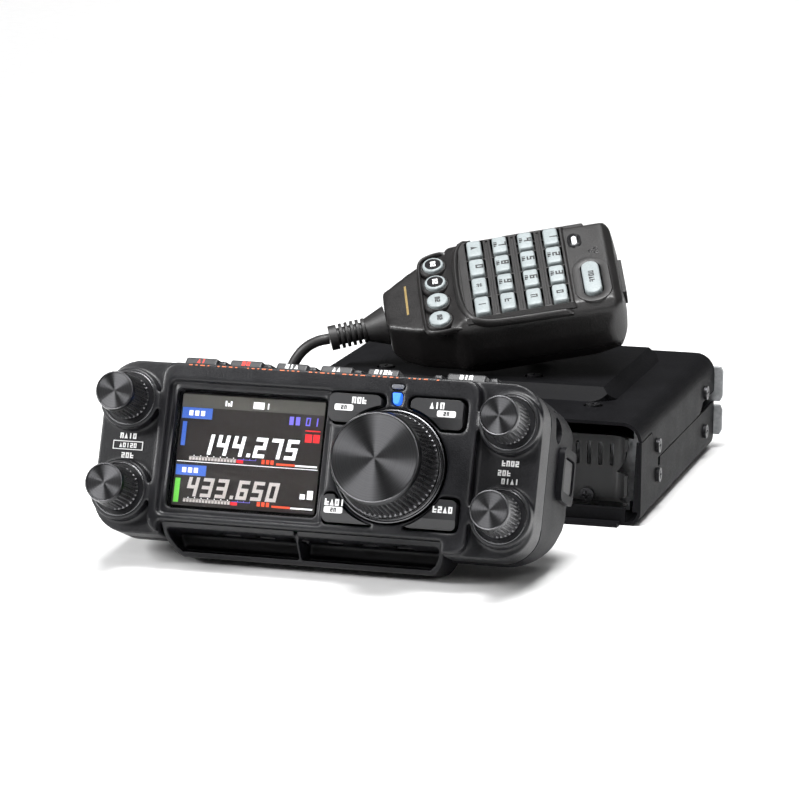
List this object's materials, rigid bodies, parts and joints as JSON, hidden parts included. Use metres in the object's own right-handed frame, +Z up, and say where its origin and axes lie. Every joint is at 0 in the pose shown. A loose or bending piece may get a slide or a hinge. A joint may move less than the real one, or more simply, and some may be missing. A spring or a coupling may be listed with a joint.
{
  "type": "mobile transceiver",
  "caption": "Two-piece mobile transceiver: separate control head with colour display and knobs, steel-cased main unit and a keypad hand microphone.",
  "frame": {"origin": "centre of the main unit's flat underside", "axes": "+Z up, -Y towards the control head and the user, +X to the user's right"},
  "size_m": [0.2058, 0.2734, 0.094],
  "materials": {
    "cover_steel": "satin powder coat",
    "cast_aluminium": "as cast",
    "plate_black": "satin",
    "board_green": "solder mask",
    "speaker_cone": "paper",
    "fan_plastic": "moulded",
    "nickel": "nickel plated",
    "inlet_white": "moulded",
    "jack_black": "moulded",
    "screw_steel": "black zinc",
    "head_plastic": "fine texture with a metallic fleck",
    "display_dark": "lit panel",
    "window_glass": "clear gloss",
    "encoder_metal": "plain",
    "collar_black": "satin",
    "lamp_blue": "translucent",
    "bracket_steel": "powder coat",
    "knob_metal": "black anodised, spun face",
    "key_black": "satin",
    "cover_rubber": "moulded",
    "mic_plastic": "fine spark texture",
    "capsule_metal": "plain",
    "lamp_clear": "clear",
    "button_metal": "turned",
    "boot_rubber": "moulded",
    "key_grey": "translucent silicone",
    "mic_trim": "satin",
    "cord_rubber": "extruded",
    "plug_plastic": "moulded"
  },
  "bodies": {
    "main_unit": {"chassis": "cast_aluminium", "top_cover": "cover_steel", "bottom_cover": "cover_steel", "front_plate": "plate_black", "rear_panel": "cover_steel", "main_board": "board_green", "body_speaker": "speaker_cone", "fan_frame": "fan_plastic", "antenna_socket": "nickel", "dc_inlet": "inlet_white", "rear_jacks": "jack_black", "front_jacks": "jack_black", "case_screws": "screw_steel", "mic_cord": "cord_rubber", "cord_coil": "cord_rubber", "mic_plug": "plug_plastic"},
    "control_head": {"head_front_case": "head_plastic", "head_rear_case": "head_plastic", "display_panel": "display_dark", "display_window": "window_glass", "speaker_horn": "head_plastic", "head_speaker": "speaker_cone", "head_board": "board_green", "encoders": "encoder_metal", "dial_collar": "collar_black", "indicator_light": "lamp_blue", "head_bracket": "bracket_steel", "head_screws": "screw_steel"},
    "hand_microphone": {"mic_front_case": "mic_plastic", "mic_rear_case": "mic_plastic", "mic_board": "board_green", "mic_capsule": "capsule_metal", "mic_lamp_window": "lamp_clear", "hanger_button": "button_metal", "cord_boot": "boot_rubber"},
    "fan_rotor": {"fan_rotor": "fan_plastic"},
    "main_dial": {"main_dial": "knob_metal"},
    "knob_upper_left": {"knob_upper_left": "knob_metal"},
    "knob_lower_left": {"knob_lower_left": "knob_metal"},
    "knob_upper_right": {"knob_upper_right": "knob_metal"},
    "knob_lower_right": {"knob_lower_right": "knob_metal"},
    "dial_key_upper_left": {"dial_key_upper_left": "key_black"},
    "dial_key_upper_right": {"dial_key_upper_right": "key_black"},
    "dial_key_lower_left": {"dial_key_lower_left": "key_black"},
    "dial_key_lower_right": {"dial_key_lower_right": "key_black"},
    "top_key_1": {"top_key_1": "key_black"},
    "top_key_2": {"top_key_2": "key_black"},
    "top_key_3": {"top_key_3": "key_black"},
    "top_key_4": {"top_key_4": "key_black"},
    "top_key_5": {"top_key_5": "key_black"},
    "top_key_6": {"top_key_6": "key_black"},
    "card_cover": {"card_cover": "cover_rubber"},
    "mic_keys_row_1": {"mic_keys_row_1": "key_grey"},
    "mic_keys_row_2": {"mic_keys_row_2": "key_grey"},
    "mic_keys_row_3": {"mic_keys_row_3": "key_grey"},
    "mic_keys_row_4": {"mic_keys_row_4": "key_grey"},
    "mic_program_keys": {"mic_program_keys": "key_grey"},
    "mute_key": {"mute_key": "key_grey"},
    "talk_bar": {"talk_bar": "mic_trim"},
    "scan_rocker": {"scan_rocker": "mic_trim"}
  },
  "joints": [
    {"name": "fan_spin", "type": "hinge", "parent": "main_unit", "child": "fan_rotor", "pos_m": [-0.018, 0.066, 0.019], "axis": [0, 1, 0], "continuous": true},
    {"name": "head_lift", "type": "slide", "parent": "main_unit", "child": "control_head", "axis": [0, 0, 1], "range_m": [0, 0.05]},
    {"name": "microphone_lift", "type": "slide", "parent": "main_unit", "child": "hand_microphone", "axis": [0, 0, 1], "range_m": [0, 0.05]},
    {"name": "main_dial_turn", "type": "hinge", "parent": "control_head", "child": "main_dial", "pos_m": [0.0064, -0.16278, 0.03831], "axis": [0, -0.9323, 0.3616], "continuous": true},
    {"name": "knob_upper_left_turn", "type": "hinge", "parent": "control_head", "child": "knob_upper_left", "pos_m": [-0.0863, -0.15663, 0.05416], "axis": [0, -0.9323, 0.3616], "range_deg": [-140, 140]},
    {"name": "knob_lower_left_turn", "type": "hinge", "parent": "control_head", "child": "knob_lower_left", "pos_m": [-0.0863, -0.16777, 0.02544], "axis": [0, -0.9323, 0.3616], "range_deg": [-140, 140]},
    {"name": "knob_upper_right_turn", "type": "hinge", "parent": "control_head", "child": "knob_upper_right", "pos_m": [0.0451, -0.15663, 0.05416], "axis": [0, -0.9323, 0.3616], "continuous": true},
    {"name": "knob_lower_right_turn", "type": "hinge", "parent": "control_head", "child": "knob_lower_right", "pos_m": [0.0451, -0.16777, 0.02544], "axis": [0, -0.9323, 0.3616], "continuous": true},
    {"name": "dial_key_upper_left_press", "type": "slide", "parent": "control_head", "child": "dial_key_upper_left", "axis": [0, 0.9323, -0.3616], "range_m": [0, 0.0008], "stiffness_N_per_m": 400},
    {"name": "dial_key_upper_right_press", "type": "slide", "parent": "control_head", "child": "dial_key_upper_right", "axis": [0, 0.9323, -0.3616], "range_m": [0, 0.0008], "stiffness_N_per_m": 400},
    {"name": "dial_key_lower_left_press", "type": "slide", "parent": "control_head", "child": "dial_key_lower_left", "axis": [0, 0.9323, -0.3616], "range_m": [0, 0.0008], "stiffness_N_per_m": 400},
    {"name": "dial_key_lower_right_press", "type": "slide", "parent": "control_head", "child": "dial_key_lower_right", "axis": [0, 0.9323, -0.3616], "range_m": [0, 0.0008], "stiffness_N_per_m": 400},
    {"name": "top_key_1_press", "type": "slide", "parent": "control_head", "child": "top_key_1", "axis": [0, -0.3616, -0.9323], "range_m": [0, 0.0008], "stiffness_N_per_m": 400},
    {"name": "top_key_2_press", "type": "slide", "parent": "control_head", "child": "top_key_2", "axis": [0, -0.3616, -0.9323], "range_m": [0, 0.0008], "stiffness_N_per_m": 400},
    {"name": "top_key_3_press", "type": "slide", "parent": "control_head", "child": "top_key_3", "axis": [0, -0.3616, -0.9323], "range_m": [0, 0.0008], "stiffness_N_per_m": 400},
    {"name": "top_key_4_press", "type": "slide", "parent": "control_head", "child": "top_key_4", "axis": [0, -0.3616, -0.9323], "range_m": [0, 0.0008], "stiffness_N_per_m": 400},
    {"name": "top_key_5_press", "type": "slide", "parent": "control_head", "child": "top_key_5", "axis": [0, -0.3616, -0.9323], "range_m": [0, 0.0008], "stiffness_N_per_m": 400},
    {"name": "top_key_6_press", "type": "slide", "parent": "control_head", "child": "top_key_6", "axis": [0, -0.3616, -0.9323], "range_m": [0, 0.0008], "stiffness_N_per_m": 400},
    {"name": "card_cover_pull", "type": "slide", "parent": "control_head", "child": "card_cover", "axis": [1, 0, 0], "range_m": [0, 0.01]},
    {"name": "mic_keys_row_1_press", "type": "slide", "parent": "hand_microphone", "child": "mic_keys_row_1", "axis": [0.0042, 0.5297, -0.8482], "range_m": [0, 0.0008], "stiffness_N_per_m": 400},
    {"name": "mic_keys_row_2_press", "type": "slide", "parent": "hand_microphone", "child": "mic_keys_row_2", "axis": [0.0042, 0.5297, -0.8482], "range_m": [0, 0.0008], "stiffness_N_per_m": 400},
    {"name": "mic_keys_row_3_press", "type": "slide", "parent": "hand_microphone", "child": "mic_keys_row_3", "axis": [0.0042, 0.5297, -0.8482], "range_m": [0, 0.0008], "stiffness_N_per_m": 400},
    {"name": "mic_keys_row_4_press", "type": "slide", "parent": "hand_microphone", "child": "mic_keys_row_4", "axis": [0.0042, 0.5297, -0.8482], "range_m": [0, 0.0008], "stiffness_N_per_m": 400},
    {"name": "mic_program_keys_press", "type": "slide", "parent": "hand_microphone", "child": "mic_program_keys", "axis": [0.0042, 0.5297, -0.8482], "range_m": [0, 0.0008], "stiffness_N_per_m": 400},
    {"name": "mute_key_press", "type": "slide", "parent": "hand_microphone", "child": "mute_key", "axis": [0.0042, 0.5297, -0.8482], "range_m": [0, 0.0008], "stiffness_N_per_m": 400},
    {"name": "talk_bar_press", "type": "slide", "parent": "hand_microphone", "child": "talk_bar", "axis": [0.3149, -0.8057, -0.5016], "range_m": [0, 0.0015], "stiffness_N_per_m": 900},
    {"name": "scan_rocker_tilt", "type": "hinge", "parent": "hand_microphone", "child": "scan_rocker", "pos_m": [0.04374, 0.00506, 0.07366], "axis": [-0.0042, -0.5297, 0.8482], "range_deg": [-4, 4], "stiffness_Nm_per_rad": 0.4}
  ]
}
